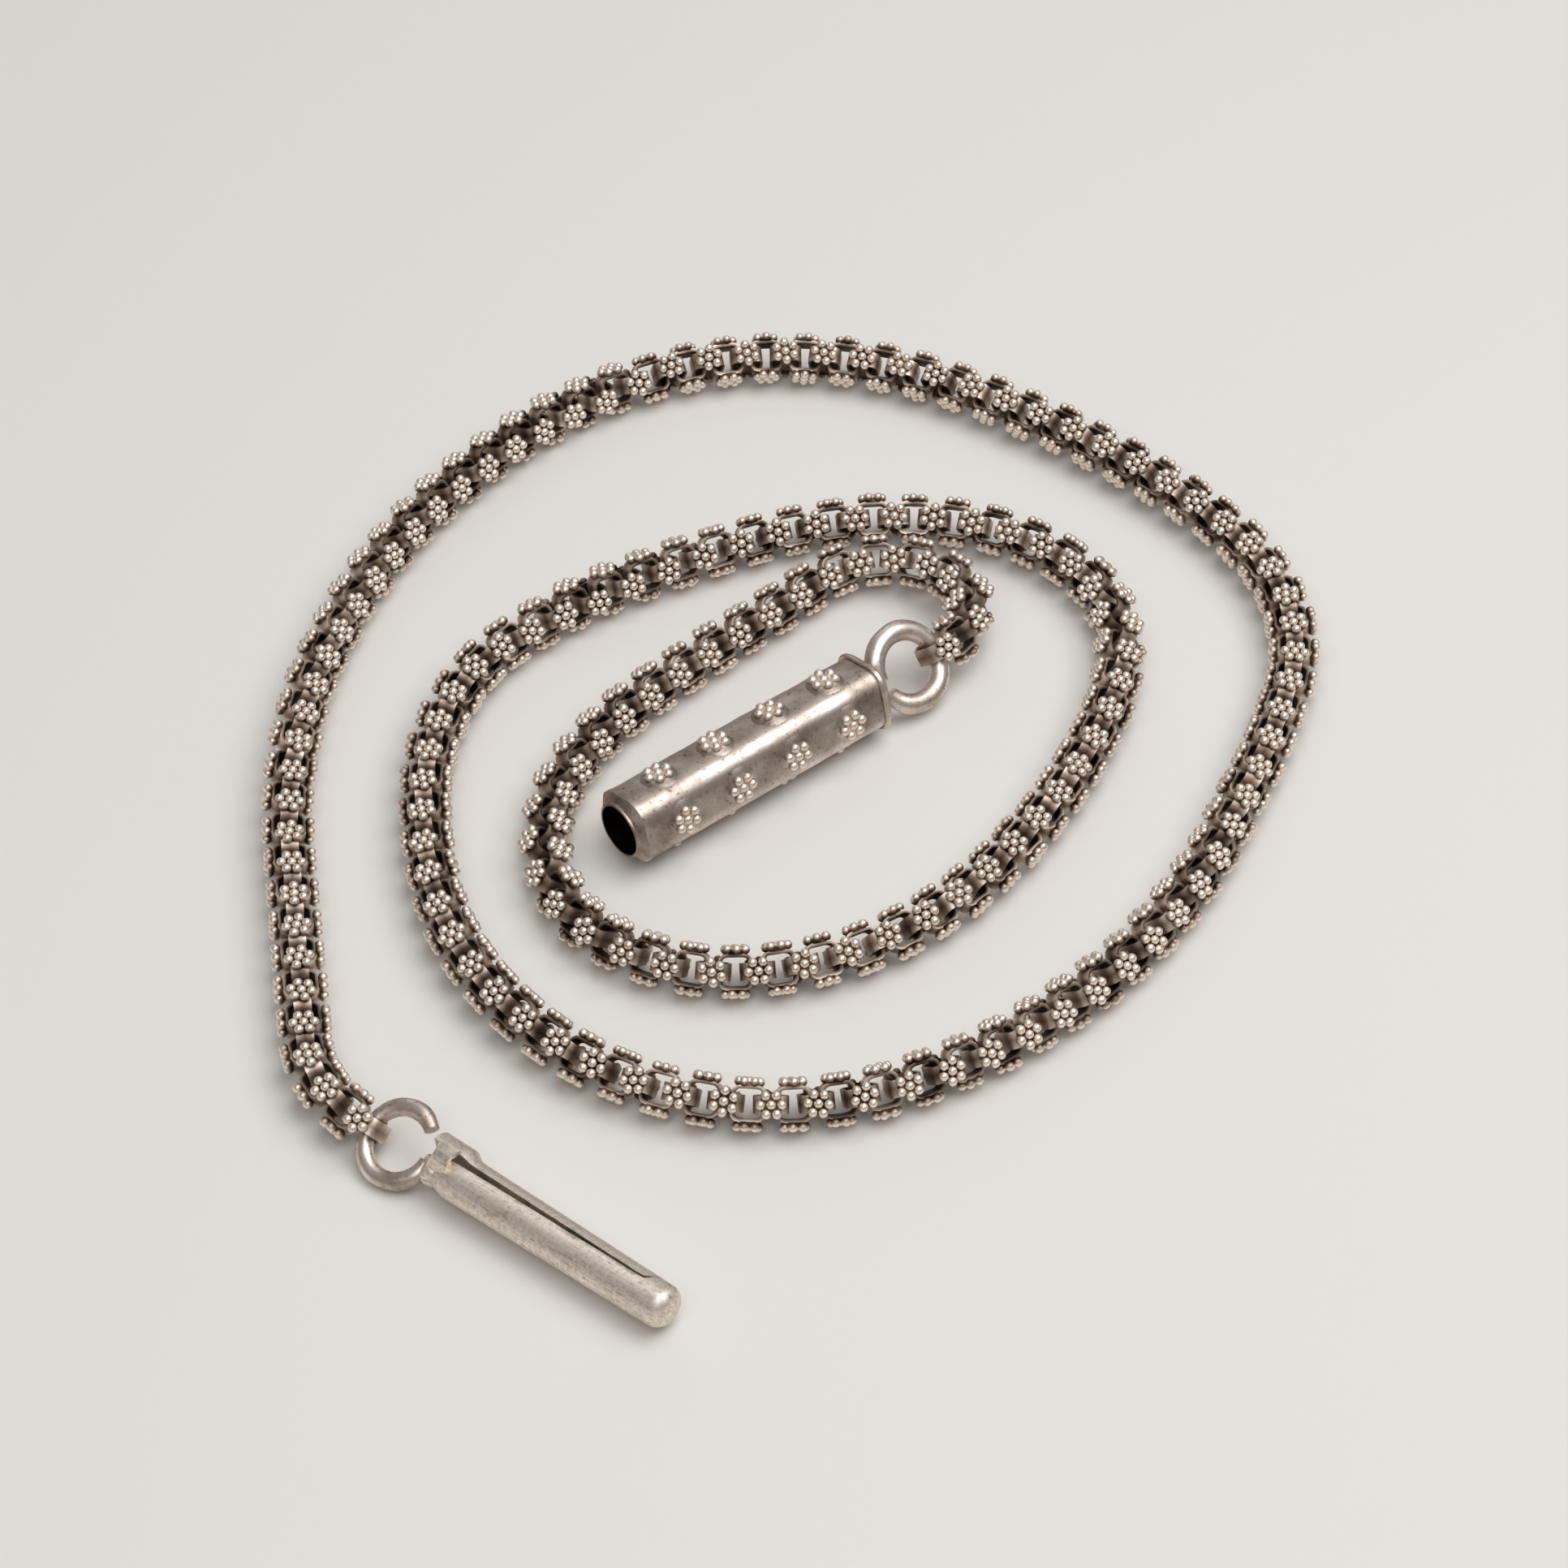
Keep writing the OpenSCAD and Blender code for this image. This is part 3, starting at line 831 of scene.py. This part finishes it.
def tongue():
    """The tongue's arm with its solder and tab, its sprung leaf and its ring."""
    bm = bmesh.new()
    # even steps along the arm, and closer ones from 1 mm before the fold to just short of the tip
    arm_steps = 24
    tip_steps = 20
    bend_x = fold_x - 1
    end_x = tip_x - 0.02
    xs = [face_x + (bend_x - face_x) * k / arm_steps for k in range(arm_steps + 1)]
    xs += [bend_x + (end_x - bend_x) * k / tip_steps for k in range(1, tip_steps + 1)]
    rings = []
    for x in xs:
        top = split_y + (tongue_d / 2 - split_y) * ease((x - fold_x + arm_fold) / fold_len)
        root = root_share + (1 - root_share) * ease((x - face_x) / root_len)
        radius = tip_radius(x) * root * (0.99 - 0.01 * noise.noise(Vector((x / 3, 4, 0))))
        rings.append(across(x, bar_section(radius, -radius, top)))
    loft(bm, rings)
    solder_lump(bm, Vector((face_x, 0, 0)) + Vector(lump_middle), Vector(lump_size))
    file_flat(bm, Matrix.Identity(4))
    folded_tab(bm)
    mesh = finish_mesh(bm, at_arm)
    mark_slit(mesh, at_arm)
    place_piece("arm", mesh, tongue_finish, "tongue", "clasp_silver", "tongue_arm")

    bm = bmesh.new()
    floor_y = split_y + slit
    rings = []
    start = face_x - thumb_over
    leaf_steps = 30
    for k in range(leaf_steps + 1):
        x = start + (fold_x + leaf_end - start) * k / leaf_steps
        radius = tongue_d / 2 + catch_h * (1 - ease((x - catch_x + catch_slope / 2) / catch_slope))
        low = floor_y + (tongue_d / 2 - leaf_end_t - floor_y) * ease((x - fold_x + leaf_fold) / fold_len)
        rings.append(across(x, bar_section(radius, low, radius)))
    loft(bm, rings)
    mesh = finish_mesh(bm, at_leaf)
    mark_slit(mesh, at_leaf)
    place_piece("spring_leaf", mesh, tongue_finish, "leaf", "clasp_silver", "tongue_leaf")

    bm = bmesh.new()
    wire_ring(bm, ring_opening, wire_d, 0)
    file_flat(bm, Matrix.Rotation(math.radians(-tongue_twist), 4, "X"))
    mesh = finish_mesh(bm, at_tongue)
    place_piece("wire_ring_tongue", mesh, barrel_finish, "tongue", "clasp_silver", "tongue_ring")


def studio():
    """Pale table, soft lamps and the camera at the photograph's angle."""
    scene = bpy.context.scene
    scene.view_settings.view_transform = "Standard"
    world = bpy.data.worlds.new("room")
    world.use_nodes = True
    world.node_tree.nodes["Background"].inputs["Color"].default_value = linear("#A3A19F")
    world.node_tree.nodes["Background"].inputs["Strength"].default_value = 0.62
    scene.world = world

    table = bpy.data.meshes.new("table")
    bm = bmesh.new()
    bmesh.ops.create_grid(bm, x_segments=1, y_segments=1, size=1.5)
    bm.to_mesh(table)
    bm.free()
    paper = bpy.data.materials.new("matt_paper")
    paper.use_nodes = True
    shader = paper.node_tree.nodes["Principled BSDF"]
    shader.inputs["Base Color"].default_value = linear("#E8E5E0")
    shader.inputs["Roughness"].default_value = 0.9
    table.materials.append(paper)
    ground = bpy.data.objects.new("table", table)
    bpy.context.collection.objects.link(ground)

    # name, place and size in metres, power in watts
    lamps = (("key", (-0.08, -0.3, 0.46), 0.3, 0.6),
             ("top", (0.2, 0, 0.52), 0.5, 2.2),
             ("back", (-0.1, 0.5, 0.35), 0.4, 0.3))
    for name, spot, size, watts in lamps:
        lamp = bpy.data.lights.new(name, "AREA")
        lamp.size = size
        lamp.energy = watts
        holder = bpy.data.objects.new(name, lamp)
        holder.location = spot
        holder.rotation_euler = (-Vector(spot)).to_track_quat("-Z", "Y").to_euler()
        bpy.context.collection.objects.link(holder)

    photo_px = 1932
    focal_px = 7000
    px_per_mm = 15
    tilt = math.radians(45)
    # the first link as seen from the middle of the photograph, in mm on the table
    first_link = Vector((-32.12, -39.38, 0))
    target = (links[0][0] - first_link) * MM
    target.z = 0
    lens = bpy.data.cameras.new("camera")
    lens.sensor_width = 36
    lens.lens = 36 * focal_px / photo_px
    lens.clip_start = 0.01
    eye = bpy.data.objects.new("camera", lens)
    eye.location = target + focal_px / px_per_mm * MM * Vector((0, -math.cos(tilt), math.sin(tilt)))
    eye.rotation_euler = (math.pi / 2 - tilt, 0, 0)
    bpy.context.collection.objects.link(eye)
    scene.camera = eye


chain()
barrel()
barrel_bosses()
tongue()
studio()
